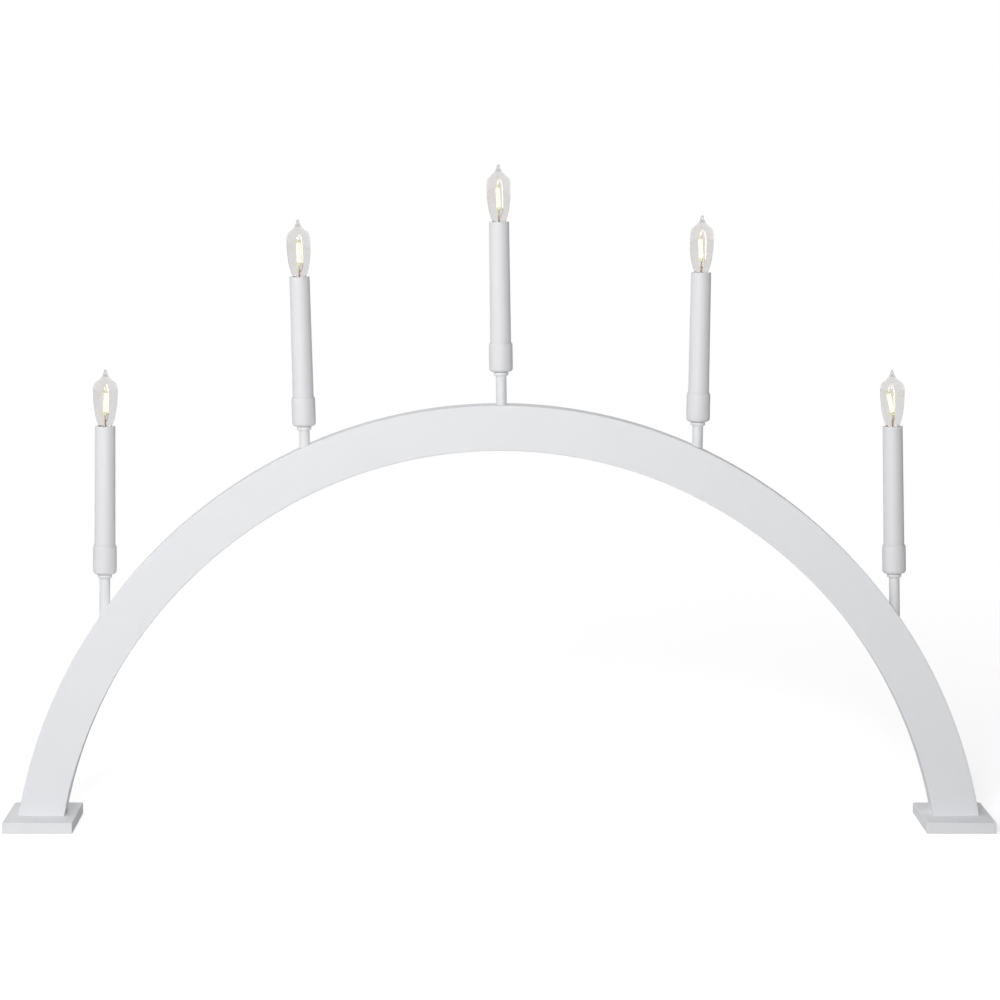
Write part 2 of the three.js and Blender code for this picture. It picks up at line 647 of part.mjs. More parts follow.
function lampFilament() {
  const flange = NECK_DIAMETER - 2 * GLASS_WALL - 2 * FIT;
  const foot = turned([
    [0, -NECK_INSERT],
    [flange, -NECK_INSERT],
    [flange, FOOT_GLASS_FLANGE - NECK_INSERT],
    [PRESS_DIAMETER, PRESS_BASE],
    [PRESS_DIAMETER, PRESS_HEIGHT],
    [0, PRESS_HEIGHT],
  ], STEM_SIDES);
  const filament = mountWire([FILAMENT_FOOT, FILAMENT_HEAD], FILAMENT_DIAMETER, 1);
  const lead = mountWire([[0, 0, PRESS_BASE], FILAMENT_FOOT], MOUNT_WIRE_DIAMETER, 1);
  const tie = mountWire([SUPPORT_WIRE.at(-1), FILAMENT_HEAD], MOUNT_WIRE_DIAMETER, 1);
  const support = mountWire(SUPPORT_WIRE, MOUNT_WIRE_DIAMETER, WIRE_STEPS);
  return join([foot, lead, filament, support, tie]);
}

function electricCandle(candle, number) {
  const body = new THREE.Group();
  body.applyMatrix4(candlePlace(candle));
  body.add(
    piece(`stem_${number}`, stem(candle), WHITE_METAL),
    piece(`lock_nut_${number}`, lockNut(candle), WHITE_METAL),
    piece(`cup_${number}`, cup(candle), WHITE_PLASTIC),
    piece(`sleeve_${number}`, sleeve(candle), WHITE_PLASTIC),
  );
  const head = new THREE.Group();
  head.position.z = rimHeight(candle);
  head.add(
    piece(`socket_shell_${number}`, socketShell(), BRASS),
    piece(`socket_contact_${number}`, socketContact(), DARK_PLASTIC),
    piece(`lamp_cap_${number}`, lampCap(), BRASS),
    piece(`lamp_tip_${number}`, lampTip(), DARK_PLASTIC),
    piece(`lamp_glass_${number}`, lampGlass(), CLEAR_GLASS),
  );
  const mount = piece(`lamp_filament_${number}`, lampFilament(), WARM_LIGHT);
  mount.rotation.z = THREE.MathUtils.degToRad(candle.turn);
  head.add(mount);
  body.add(head);
  return body;
}

// The whole candlestick

const candlestick = new THREE.Group();
candlestick.add(archFrame(), rearCover(), cordGland(), wiringHarness());
for (const side of SIDES) {
  const footFastener = piece(`foot_screw_${side.name}`, footScrew(), STEEL);
  footFastener.applyMatrix4(footScrewPlace(side.sign));
  const coverFastener = piece(`cover_screw_${side.name}`, coverScrew(), STEEL);
  coverFastener.applyMatrix4(coverScrewPlace(side.sign));
  candlestick.add(foot(side), footFastener, coverFastener);
}
CANDLES.forEach((candle, index) => candlestick.add(electricCandle(candle, index + 1)));

export default candlestick;
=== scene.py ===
"""Window candlestick: a white painted arch on two feet, with five electric candles.

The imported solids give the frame. Each class below holds the sizes of one sub-assembly in millimetres and degrees, in
that same frame, and makes its pieces in metres.
"""

import logging
import math
from collections.abc import Callable, Iterable, Sequence
from dataclasses import dataclass, field
from enum import Enum

import bmesh
import bpy
from mathutils import Matrix, Vector
from mathutils.geometry import interpolate_bezier


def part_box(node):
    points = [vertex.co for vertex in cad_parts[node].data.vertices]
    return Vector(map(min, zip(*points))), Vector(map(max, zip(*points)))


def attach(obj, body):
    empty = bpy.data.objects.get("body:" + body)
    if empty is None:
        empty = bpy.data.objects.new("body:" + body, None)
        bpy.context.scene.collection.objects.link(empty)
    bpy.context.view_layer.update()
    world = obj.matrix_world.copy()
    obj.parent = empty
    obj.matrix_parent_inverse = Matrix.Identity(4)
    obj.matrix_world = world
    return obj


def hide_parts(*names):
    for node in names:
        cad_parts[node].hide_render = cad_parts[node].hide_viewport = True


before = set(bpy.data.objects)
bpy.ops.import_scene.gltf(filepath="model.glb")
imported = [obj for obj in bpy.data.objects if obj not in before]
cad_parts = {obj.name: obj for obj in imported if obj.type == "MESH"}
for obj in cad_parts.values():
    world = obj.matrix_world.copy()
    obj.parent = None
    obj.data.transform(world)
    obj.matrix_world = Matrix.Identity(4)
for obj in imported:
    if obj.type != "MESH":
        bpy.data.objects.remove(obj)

LOG = logging.getLogger("candlestick")
MM = 0.001  # metres in a millimetre
TOUCH = 0.001  # distance in millimetres at which two points count as one
CREASE = math.radians(34)  # edges sharper than this stay sharp in the shading
FLAT = math.radians(1)  # neighbouring triangles that turn less than this are one face
EASE = 1 / 3  # share of a small size that its rounding takes
HANDLE = 1 / 6  # share of the way between a knot's neighbours that its handle reaches on a smooth curve
ROOT = "candlestick"  # body of everything that stays put
WHITE = "#FFFFFF"

Settings = dict[str, object]
Links = dict[str | int, bpy.types.NodeSocket]


class Slot(Enum):
    """The record's material slots of the pieces that are modelled here."""

    ARCH = "arch_paint"
    STEM = "stem_paint"
    CANDLE = "candle_plastic"
    BRASS = "brass"
    GLASS = "clear_glass"
    FILAMENT = "filament"


class Side(Enum):
    """The two ends of the arch, as seen from the front."""

    LEFT = "left"
    RIGHT = "right"


def linear(colour: str) -> tuple[float, float, float, float]:
    """Turns a colour to the renderer's linear values.

    Args:
        colour: sRGB as #RRGGBB.

    Returns:
        Linear red, green, blue and full alpha.
    """
    shares = [int(colour[start : start + 2], 16) / 255 for start in (1, 3, 5)]
    red, green, blue = (s / 12.92 if s <= 0.04045 else ((s + 0.055) / 1.055) ** 2.4 for s in shares)
    return red, green, blue, 1.0


def add_node(
    tree: bpy.types.NodeTree, kind: str, settings: Settings | None = None, links: Links | None = None
) -> bpy.types.Node:
    """Adds a shader node with its settings and links.

    Args:
        tree: node tree of a material or of the world.
        kind: the node's type.
        settings: values of its properties and input sockets, by name.
        links: the sockets that feed its inputs, by the input's name or number.

    Returns:
        The new node.
    """
    node = tree.nodes.new(kind)
    for name, value in (settings or {}).items():
        if name in node.inputs:
            node.inputs[name].default_value = value
        else:
            setattr(node, name, value)
    for name, source in (links or {}).items():
        tree.links.new(source, node.inputs[name])
    return node


def per_metre(size: float) -> float:
    """Texture scale at which one feature of a pattern is this many millimetres wide."""
    return 1 / (size * MM)


class Finish:
    """A surface finish, made into a material once and shared by all its pieces."""

    name: str

    def material(self) -> bpy.types.Material:
        """Gives the finish's material, which is made at the first call.

        Returns:
            The material.
        """
        known = bpy.data.materials.get(self.name)
        if known:
            return known
        made = bpy.data.materials.new(self.name)
        made.use_nodes = True
        tree = made.node_tree
        tree.nodes.clear()
        settings, links = self.mix(tree)
        shader = add_node(tree, "ShaderNodeBsdfPrincipled", settings, links)
        add_node(tree, "ShaderNodeOutputMaterial", None, {"Surface": shader.outputs["BSDF"]})
        return made

    def mix(self, tree: bpy.types.NodeTree) -> tuple[Settings, Links]:
        """Gives the settings of the finish's shader, and the sockets that feed it."""
        raise NotImplementedError

    def vary_colour(
        self, tree: bpy.types.NodeTree, colours: tuple[str, str], size: float, detail: float
    ) -> bpy.types.NodeSocket:
        """Lets the colour drift between two tones in soft patches.

        Args:
            tree: the material's node tree.
            colours: the two tones.
            size: width of one patch.
            detail: how many finer layers the patches have.

        Returns:
            The colour.
        """
        place = add_node(tree, "ShaderNodeTexCoord").outputs["Object"]
        patches = add_node(
            tree, "ShaderNodeTexNoise", {"Scale": per_metre(size), "Detail": detail}, {"Vector": place}
        )
        first, second = (linear(colour) for colour in colours)
        mixed = add_node(
            tree, "ShaderNodeMixRGB", {"Color1": first, "Color2": second}, {"Fac": patches.outputs["Fac"]}
        )
        return mixed.outputs["Color"]

    def vary_gloss(
        self, tree: bpy.types.NodeTree, size: float, roughness: float, spread: float
    ) -> tuple[bpy.types.NodeSocket, bpy.types.NodeSocket]:
        """Lets a fine grain vary the gloss.

        Args:
            tree: the material's node tree.
            size: width of one grain.
            roughness: in the middle of its range.
            spread: from the middle of the range to its ends.

        Returns:
            The roughness, and the grain's height.
        """
        place = add_node(tree, "ShaderNodeTexCoord").outputs["Object"]
        grain = add_node(
            tree, "ShaderNodeTexNoise", {"Scale": per_metre(size), "Detail": 2.0}, {"Vector": place}
        ).outputs["Fac"]
        gloss = add_node(
            tree,
            "ShaderNodeMapRange",
            {"To Min": roughness - spread, "To Max": roughness + spread},
            {"Value": grain},
        )
        return gloss.outputs["Result"], grain


@dataclass(frozen=True)
class Coating(Finish):
    """An opaque finish with faint clouding of its colour and a fine grain.

    The grain drives both the gloss and a small relief.
    """

    name: str
    colour: str
    cloud_colour: str
    cloud: float  # width of the clouds
    grain: float  # width of one bump
    relief: float  # height of one bump
    roughness: float
    roughness_spread: float = 0.05
    ior: float = 1.5

    def mix(self, tree: bpy.types.NodeTree) -> tuple[Settings, Links]:
        """Gives the settings of the finish's shader, and the sockets that feed it.

        Args:
            tree: the material's node tree.

        Returns:
            Settings and links, by the shader's inputs.
        """
        colour = self.vary_colour(tree, (self.colour, self.cloud_colour), self.cloud, detail=3.0)
        gloss, grain = self.vary_gloss(tree, self.grain, self.roughness, self.roughness_spread)
        relief = add_node(
            tree, "ShaderNodeBump", {"Strength": 1.0, "Distance": self.relief * MM}, {"Height": grain}
        )
        links = {"Base Color": colour, "Roughness": gloss, "Normal": relief.outputs["Normal"]}
        return {"IOR": self.ior}, links


@dataclass(frozen=True)
class Metal(Finish):
    """A bare metal with a drawn or rolled grain that varies its gloss and a thin tarnish that varies its colour."""

    name: str
    colour: str
    tarnish_colour: str
    tarnish: float  # width of the tarnished patches
    grain: float
    roughness: float
    roughness_spread: float = 0.08

    def mix(self, tree: bpy.types.NodeTree) -> tuple[Settings, Links]:
        """Gives the settings of the finish's shader, and the sockets that feed it.

        Args:
            tree: the material's node tree.

        Returns:
            Settings and links, by the shader's inputs.
        """
        colour = self.vary_colour(tree, (self.colour, self.tarnish_colour), self.tarnish, detail=4.0)
        gloss, _ = self.vary_gloss(tree, self.grain, self.roughness, self.roughness_spread)
        return {"Metallic": 1.0}, {"Base Color": colour, "Roughness": gloss}


@dataclass(frozen=True)
class Glass(Finish):
    """Clear glass with the soft waves that drawing or blowing leaves in it."""

    name: str
    colour: str
    ior: float
    wave: float  # width of one wave
    relief: float  # height of one wave

    def mix(self, tree: bpy.types.NodeTree) -> tuple[Settings, Links]:
        """Gives the settings of the finish's shader, and the sockets that feed it.

        Args:
            tree: the material's node tree.

        Returns:
            Settings and links, by the shader's inputs.
        """
        place = add_node(tree, "ShaderNodeTexCoord").outputs["Object"]
        waves = add_node(
            tree, "ShaderNodeTexNoise", {"Scale": per_metre(self.wave), "Detail": 0.0}, {"Vector": place}
        )
        relief = add_node(
            tree, "ShaderNodeBump", {"Strength": 1.0, "Distance": self.relief * MM}, {"Height": waves.outputs["Fac"]}
        )
        settings = {
            "Base Color": linear(self.colour),
            "Roughness": 0.0,
            "IOR": self.ior,
            "Transmission Weight": 1.0,
        }
        return settings, {"Normal": relief.outputs["Normal"]}


@dataclass(frozen=True)
class PhosphorAndPaintedGlow(Finish):
    """A surface that shines by itself: the phosphor coat of a light-emitting filament, and the support wire, whose
    glow is painted light standing in for the filament's light falling on it.
    """

    name: str
    colour: str
    grain_colour: str
    grain: float
    roughness: float
    glow: str
    strength: float

    def mix(self, tree: bpy.types.NodeTree) -> tuple[Settings, Links]:
        """Gives the settings of the finish's shader, and the sockets that feed it.

        Args:
            tree: the material's node tree.

        Returns:
            Settings and links, by the shader's inputs.
        """
        colour = self.vary_colour(tree, (self.colour, self.grain_colour), self.grain, detail=2.0)
        settings = {
            "Roughness": self.roughness,
            "Emission Color": linear(self.glow),
            "Emission Strength": self.strength,
        }
        return settings, {"Base Color": colour}


# Satin lacquer sprayed on fibreboard: an even cool white with soft gloss and a fine orange peel.
SATIN_LACQUER = Coating(
    "satin_lacquer_on_fibreboard", "#F1F2F4", "#ECEDF0", cloud=60.0, grain=1.4, relief=0.012, roughness=0.5
)
# Powder coat on steel tube: the same white, with a tighter peel and a little more gloss.
POWDER_COAT = Coating(
    "powder_coat_on_steel", "#F0F1F3", "#EBECEE", cloud=30.0, grain=0.8, relief=0.008, roughness=0.42
)
# Moulded polypropylene: a soft white with the fine matt grain of the mould.
POLYPROPYLENE = Coating(
    "moulded_polypropylene", "#ECECEE", "#E8E8EA", cloud=35.0, grain=0.5, relief=0.006, roughness=0.55, ior=1.49
)
# Plasticised vinyl on the lead: a dull milky white.
VINYL = Coating(
    "vinyl_lead_sheath", "#E6E6E3", "#DEDEDB", cloud=12.0, grain=0.6, relief=0.01, roughness=0.55, ior=1.53
)
# Black lamp glass and moulded phenolic: nearly black, with a dull shine.
PHENOLIC = Coating(
    "moulded_phenolic", "#2A2826", "#1E1D1C", cloud=4.0, grain=0.4, relief=0.006, roughness=0.45, ior=1.6
)
# Rolled brass: warm yellow, with browner patches where hands and heat have dulled it.
ROLLED_BRASS = Metal("rolled_brass", "#D9B66A", "#B98F45", tarnish=3.0, grain=0.3, roughness=0.26)
# Zinc-plated steel: pale grey with a bluish sheen.
ZINC_PLATE = Metal("zinc_plated_steel", "#C6C9CC", "#A9ADB2", tarnish=2.5, grain=0.3, roughness=0.34)
# Copper-plated lead-in wire: a warm brown line.
LEAD_IN_WIRE = Metal("copper_plated_wire", "#CBA478", "#A87F54", tarnish=2.0, grain=0.2, roughness=0.35)
# Bare nickel wire below the filament: a pale warm grey.
NICKEL_WIRE = Metal("bare_nickel_wire", "#DAD6CF", "#C4BEB4", tarnish=2.0, grain=0.2, roughness=0.35)
# Blown soda-lime glass: clear, with a grey tint that is painted shade, standing in for darker surroundings seen
# through the bulb.
SHADE_GREY_GLASS = Glass("blown_glass_painted_grey", "#EDECEB", ior=1.51, wave=6.0, relief=0.02)
# The solid tip where the tube was drawn off, with the top of the bulb below it: a darker grey tint that is painted
# shade, standing in for darker surroundings seen through the glass.
SHADE_GREY_TIP_GLASS = Glass("drawn_glass_tip_painted_grey", "#DAD9D8", ior=1.51, wave=2.0, relief=0.02)
# Pressed lead glass of the lamp's foot: clear, with a stronger sparkle.
PRESSED_GLASS = Glass("pressed_lead_glass", "#FAF9F7", ior=1.56, wave=2.0, relief=0.03)
# Phosphor under current: a white core with a warm edge.
LIT_PHOSPHOR = PhosphorAndPaintedGlow(
    "lit_phosphor", "#FFF0C4", "#FFE8AE", grain=0.3, roughness=0.6, glow="#FFF0CC", strength=0.8
)
# Phosphor at the filament's ends, outside the chips: a dull yellow-green with a weak glow.
END_PHOSPHOR = PhosphorAndPaintedGlow(
    "end_phosphor", "#C8C48E", "#B5AE78", grain=0.3, roughness=0.6, glow="#CEC98C", strength=0.25
)
# Nickel wire beside the filament: a painted glow that stands in for the filament's light falling on the wire, so that
# it shows white.
PAINTED_GLOW_WIRE = PhosphorAndPaintedGlow(
    "nickel_wire_painted_glow", "#D6D2C8", "#BFB9AC", grain=2.0, roughness=0.3, glow="#FFF8E4", strength=0.55
)


@dataclass(frozen=True)
class Corner:
    """A corner of an outline that is turned around Z: radius, height and the radius of its rounding."""

    radius: float
    height: float
    round: float = 0.0


class Workpiece:
    """A mesh at work: it is shaped in millimetres, and published as an object in metres."""

    def __init__(self) -> None:
        """Starts with an empty mesh."""
        self.mesh = bmesh.new()

    def clean(self) -> None:
        """Closes seams and poles, and points the faces outwards."""
        bmesh.ops.remove_doubles(self.mesh, verts=self.mesh.verts[:], dist=TOUCH)
        bmesh.ops.recalc_face_normals(self.mesh, faces=self.mesh.faces[:])

    def turn(self, outline: Sequence[Corner], steps: int, ring: bool = False, round_steps: int = 4) -> None:
        """Spins an outline once around Z and rounds its corners.

        Args:
            outline: corners from one end of the outline to the other.
            steps: faces around.
            ring: whether the outline closes on itself, around a hole.
            round_steps: faces across each rounding.
        """
        verts = [self.mesh.verts.new((corner.radius, 0.0, corner.height)) for corner in outline]
        ends = verts[1:] + verts[:1] if ring else verts[1:]
        edges = [self.mesh.edges.new(pair) for pair in zip(verts, ends)]
        bmesh.ops.spin(
            self.mesh,
            geom=verts + edges,
            cent=(0, 0, 0),
            axis=(0, 0, 1),
            angle=2 * math.pi,
            steps=steps,
            use_merge=True,
        )
        self.clean()
        for corner in outline:
            if corner.round:
                self.soften(self.hoop(corner), corner.round, round_steps)

    def hoop(self, corner: Corner) -> list[bmesh.types.BMEdge]:
        """Finds the edges that a corner of a turned outline has drawn.

        Args:
            corner: the corner.

        Returns:
            Its edges.
        """
        return self.edges_where(
            lambda place: abs(math.hypot(place.x, place.y) - corner.radius) < TOUCH
            and abs(place.z - corner.height) < TOUCH
        )

    def edges_where(self, test: Callable[[Vector], bool]) -> list[bmesh.types.BMEdge]:
        """Finds the edges whose two ends pass a test of their places."""
        return [edge for edge in self.mesh.edges if all(test(vert.co) for vert in edge.verts)]

    def soften(self, edges: Iterable[bmesh.types.BMEdge], size: float, steps: int) -> None:
        """Rounds edges over.

        Args:
            edges: the edges.
            size: radius of the rounding.
            steps: faces across it.
        """
        bmesh.ops.bevel(
            self.mesh,
            geom=list(edges),
            offset=size,
            offset_type="OFFSET",
            segments=steps,
            profile=0.5,
            affect="EDGES",
            clamp_overlap=True,
            material=-1,
        )

    def sweep(self, path: Sequence[Vector], radius: float, sides: int) -> None:
        """Draws a round wire along a path, closed at both ends.

        Args:
            path: the places that it runs through.
            radius: of the wire.
            sides: faces around.
        """
        heading = (path[1] - path[0]).normalized()
        start = Matrix.Translation(path[0]) @ heading.to_track_quat("Z", "Y").to_matrix().to_4x4()
        ring = bmesh.ops.create_circle(self.mesh, cap_ends=True, radius=radius, segments=sides, matrix=start)["verts"]
        for index in range(1, len(path)):
            edges = [edge for edge in self.mesh.edges if all(vert in ring for vert in edge.verts)]
            made = bmesh.ops.extrude_edge_only(self.mesh, edges=edges)["geom"]
            ring = [item for item in made if isinstance(item, bmesh.types.BMVert)]
            bmesh.ops.translate(self.mesh, verts=ring, vec=path[index] - path[index - 1])
            onward = (path[min(index + 1, len(path) - 1)] - path[index - 1]).normalized()
            turn = heading.rotation_difference(onward).to_matrix()
            bmesh.ops.rotate(self.mesh, verts=ring, cent=path[index], matrix=turn)
            heading = onward
        bmesh.ops.contextual_create(self.mesh, geom=ring)
        self.clean()

    def copy(self, node: str) -> None:
        """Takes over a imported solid, with its loose triangles merged to plain faces.

        Args:
            node: its name.
        """
        self.mesh.from_mesh(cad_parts[node].data)
        bmesh.ops.scale(self.mesh, verts=self.mesh.verts[:], vec=Vector((1, 1, 1)) / MM)
        bmesh.ops.remove_doubles(self.mesh, verts=self.mesh.verts[:], dist=TOUCH)
        bmesh.ops.dissolve_limit(self.mesh, angle_limit=FLAT, verts=self.mesh.verts[:], edges=self.mesh.edges[:])

    def paint(self, finish: int, test: Callable[[Vector], bool]) -> None:
        """Gives another of the piece's finishes to the faces whose middle passes a test.

        Args:
            finish: index of the finish.
            test: takes a place and says whether it counts.
        """
        for face in self.mesh.faces:
            if test(face.calc_center_median()):
                face.material_index = finish

    def place(self, matrix: Matrix) -> None:
        """Moves the whole mesh."""
        bmesh.ops.transform(self.mesh, matrix=matrix, verts=self.mesh.verts[:])

    def publish(
        self,
        name: str,
        body: str,
        slot: Slot,
        finishes: Sequence[Finish],
        stands_for: Sequence[str],
        flat: bool = False,
    ) -> bpy.types.Object:
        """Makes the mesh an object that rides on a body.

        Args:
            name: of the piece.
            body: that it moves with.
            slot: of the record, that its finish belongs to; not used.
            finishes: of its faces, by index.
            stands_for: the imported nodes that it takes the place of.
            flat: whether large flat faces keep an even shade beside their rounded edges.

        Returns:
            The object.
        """
        bmesh.ops.scale(self.mesh, verts=self.mesh.verts[:], vec=Vector((MM, MM, MM)))
        for edge in self.mesh.edges:
            edge.smooth = edge.calc_face_angle(0.0) < CREASE
        for face in self.mesh.faces:
            face.smooth = True
        data = bpy.data.meshes.new(name)
        self.mesh.to_mesh(data)
        self.mesh.free()
        for finish in finishes:
            data.materials.append(finish.material())
        piece = bpy.data.objects.new(name, data)
        bpy.context.scene.collection.objects.link(piece)
        if flat:
            piece.modifiers.new("even_shade", "WEIGHTED_NORMAL").keep_sharp = True
        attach(piece, body)
        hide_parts(*stands_for)
        LOG.info("%s: %d faces, on %s", name, len(data.polygons), body)
        return piece


def dress(node: str, finish: Finish) -> None:
    """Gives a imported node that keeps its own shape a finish.

    Args:
        node: its name.
        finish: its finish.
    """
    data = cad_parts[node].data
    data.materials.clear()
    data.materials.append(finish.material())
    LOG.info("%s: packed shape in %s", node, finish.name)


@dataclass
class Arch:
    """The arched board, with the rebate in its rear that takes the cover strip.

    Its outer edge is one arc over the crown and a flatter one down each side. Angles are those of an arc's radius from
    the vertical, and insets are measured inwards from the outer edge.
    """

    height: float = 283.0  # from the ground to the top of the crown
    crown_radius: float = 315.3
    crown_angle: float = 28.5  # from the top of the crown to where the sides begin
    side_radius: float = 337.2
    rail: float = 30.0  # from the outer to the inner edge
    thickness: float = 18.0
    foot_thickness: float = 7.5
    cover_width: float = 18.5
    cover_thickness: float = 2.5
    cover_gap: float = 0.3
    bed_gap: float = 0.05  # under the cover
    edge_round: float = 0.7
    edge_steps: int = 4
    step: float = 1.2  # angle of one facet along the curve
    leg_end: float = 86.0  # past which the legs are cut off

    def arc_at(self, angle: float) -> tuple[Vector, float]:
        """Finds the arc of the outer edge at an angle.

        Args:
            angle: from the vertical.

        Returns:
            The arc's centre and radius.
        """
        crown = Vector((0, 0, self.height - self.crown_radius))
        if abs(angle) <= self.crown_angle:
            return crown, self.crown_radius
        turn = math.radians(math.copysign(self.crown_angle, angle))
        shift = self.side_radius - self.crown_radius
        return crown - shift * Vector((math.sin(turn), 0, math.cos(turn))), self.side_radius

    def point(self, angle: float, inset: float) -> Vector:
        """Finds a place on the middle plane of the board.

        Args:
            angle: from the vertical.
            inset: from the outer edge.

        Returns:
            The place.
        """
        centre, radius = self.arc_at(angle)
        turn = math.radians(angle)
        return centre + (radius - inset) * Vector((math.sin(turn), 0, math.cos(turn)))

    def inset_at(self, place: Vector) -> float:
        """Works out how far a place lies inwards from the outer edge.

        Args:
            place: any place.

        Returns:
            The inset.
        """
        crown = self.arc_at(0.0)[0]
        centre, radius = self.arc_at(math.degrees(math.atan2(place.x - crown.x, place.z - crown.z)))
        return radius - math.hypot(place.x - centre.x, place.z - centre.z)

    def rebate_end(self) -> float:
        """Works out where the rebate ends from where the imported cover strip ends.

        Returns:
            The angle from the vertical.
        """
        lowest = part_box("rear_cover")[0].z / MM
        centre, radius = self.arc_at(self.leg_end)
        corner = radius - self.rail / 2 - self.cover_width / 2
        return math.degrees(math.acos((lowest - centre.z) / corner) + self.cover_gap / corner)

    def build(self) -> None:
        """Bends the board, cuts its legs level, sinks the rebate and eases the edges."""
        work = Workpiece()
        bed = self.cover_width / 2 + self.cover_gap
        half = self.thickness / 2
        middle = self.rail / 2
        rear = [0, middle - bed, middle + bed, self.rail]
        corners = [(-half, self.rail), (-half, 0), *((half, inset) for inset in rear)]
        verts = [work.mesh.verts.new(self.point(-self.leg_end, inset) + Vector((0, y, 0))) for y, inset in corners]
        geometry = verts + [work.mesh.edges.new(pair) for pair in zip(verts, verts[1:] + verts[:1])]
        rebate_end = self.rebate_end()
        stops = [-self.leg_end, -rebate_end, -self.crown_angle, self.crown_angle, rebate_end, self.leg_end]
        bed_faces: list[bmesh.types.BMFace] = []
        for start, end in zip(stops, stops[1:]):
            before = set(work.mesh.faces)
            geometry = bmesh.ops.spin(
                work.mesh,
                geom=geometry,
                cent=self.arc_at((start + end) / 2)[0],
                axis=(0, 1, 0),
                angle=math.radians(end - start),
                steps=round((end - start) / self.step),
            )["geom_last"]
            if abs(start + end) < 2 * rebate_end:
                bed_faces += [face for face in work.mesh.faces if face not in before and self.is_bed(face, bed)]
        self.cut_level(work)
        sunk = bmesh.ops.extrude_face_region(work.mesh, geom=bed_faces)["geom"]
        bmesh.ops.translate(
            work.mesh,
            verts=[item for item in sunk if isinstance(item, bmesh.types.BMVert)],
            vec=(0, -self.cover_thickness - self.bed_gap, 0),
        )
        bmesh.ops.delete(work.mesh, geom=bed_faces, context="FACES")
        work.clean()
        long_edges = work.edges_where(
            lambda place: abs(abs(place.y) - half) < TOUCH
            and min(abs(self.inset_at(place)), abs(self.inset_at(place) - self.rail)) < TOUCH
        )
        work.soften(long_edges, self.edge_round, self.edge_steps)
        work.publish("painted_arch", ROOT, Slot.ARCH, [SATIN_LACQUER], ["arch_frame"], flat=True)

    def is_bed(self, face: bmesh.types.BMFace, bed: float) -> bool:
        """Says whether a face of the rear lies in the strip, twice as wide as bed, that the rebate sinks."""
        middle = face.calc_center_median()
        return abs(middle.y - self.thickness / 2) < TOUCH and abs(self.inset_at(middle) - self.rail / 2) < bed / 2

    def cut_level(self, work: Workpiece) -> None:
        """Cuts the legs off level with the tops of the feet.

        Args:
            work: the bent board.
        """
        geometry = work.mesh.verts[:] + work.mesh.edges[:] + work.mesh.faces[:]
        cut = bmesh.ops.bisect_plane(
            work.mesh, geom=geometry, plane_co=(0, 0, self.foot_thickness), plane_no=(0, 0, 1), clear_inner=True
        )["geom_cut"]
        bmesh.ops.edgeloop_fill(work.mesh, edges=[item for item in cut if isinstance(item, bmesh.types.BMEdge)])


@dataclass
class Foot:
    """A foot plate with the hole of its screw, and that screw."""

    side: Side
    edge_round: float = 0.6
    edge_steps: int = 3

    def build(self) -> None:
        """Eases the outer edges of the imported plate."""
        node = f"foot_{self.side.value}"
        work = Workpiece()
        work.copy(node)
        low, high = (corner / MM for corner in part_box(node))

        def on_faces(place: Vector) -> set[tuple[int, int]]:
            """Says which outer faces of the plate a place lies on, as each face's axis and end."""
            ends = ((axis, end, corner[axis]) for axis in range(3) for end, corner in enumerate((low, high)))
            return {(axis, end) for axis, end, level in ends if abs(place[axis] - level) < TOUCH}

        outer = [
            edge
            for edge in work.mesh.edges
            if len(on_faces(edge.verts[0].co) & on_faces(edge.verts[1].co)) > 1
        ]
        work.soften(outer, self.edge_round, self.edge_steps)
        work.publish(f"foot_plate_{self.side.value}", ROOT, Slot.ARCH, [SATIN_LACQUER], [node], flat=True)
        dress(f"foot_screw_{self.side.value}", ZINC_PLATE)


@dataclass
class RearFittings:
    """What the rear of the board carries: cover strip, its screws, the lead behind it and the cord's bush."""

    bore: float = 3.25
    body: float = 4.75
    flange: float = 6.75
    flange_thickness: float = 2.5
    flange_round: float = 0.9
    lip_round: float = 0.5
    length: float = 4.5
    steps: int = 48

    def build(self) -> None:
        """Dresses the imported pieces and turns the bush."""
        dress("rear_cover", SATIN_LACQUER)
        dress("wiring_harness", VINYL)
        for side in Side:
            dress(f"cover_screw_{side.value}", ZINC_PLATE)
        low, high = (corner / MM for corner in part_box("cord_gland"))
        work = Workpiece()
        work.turn(
            [
                Corner(self.bore, -self.length),
                Corner(self.body, -self.length),
                Corner(self.body, 0.0),
                Corner(self.flange, 0.0),
                Corner(self.flange, self.flange_thickness, self.flange_round),
                Corner(self.bore, self.flange_thickness, self.lip_round),
            ],
            self.steps,
            ring=True,
        )
        seat = Vector(((low.x + high.x) / 2, high.y - self.flange_thickness, (low.z + high.z) / 2))
        work.place(Matrix.Translation(seat) @ Matrix.Rotation(math.radians(-90), 4, "X"))
        work.publish("cord_bush", ROOT, Slot.CANDLE, [POLYPROPYLENE], ["cord_gland"])


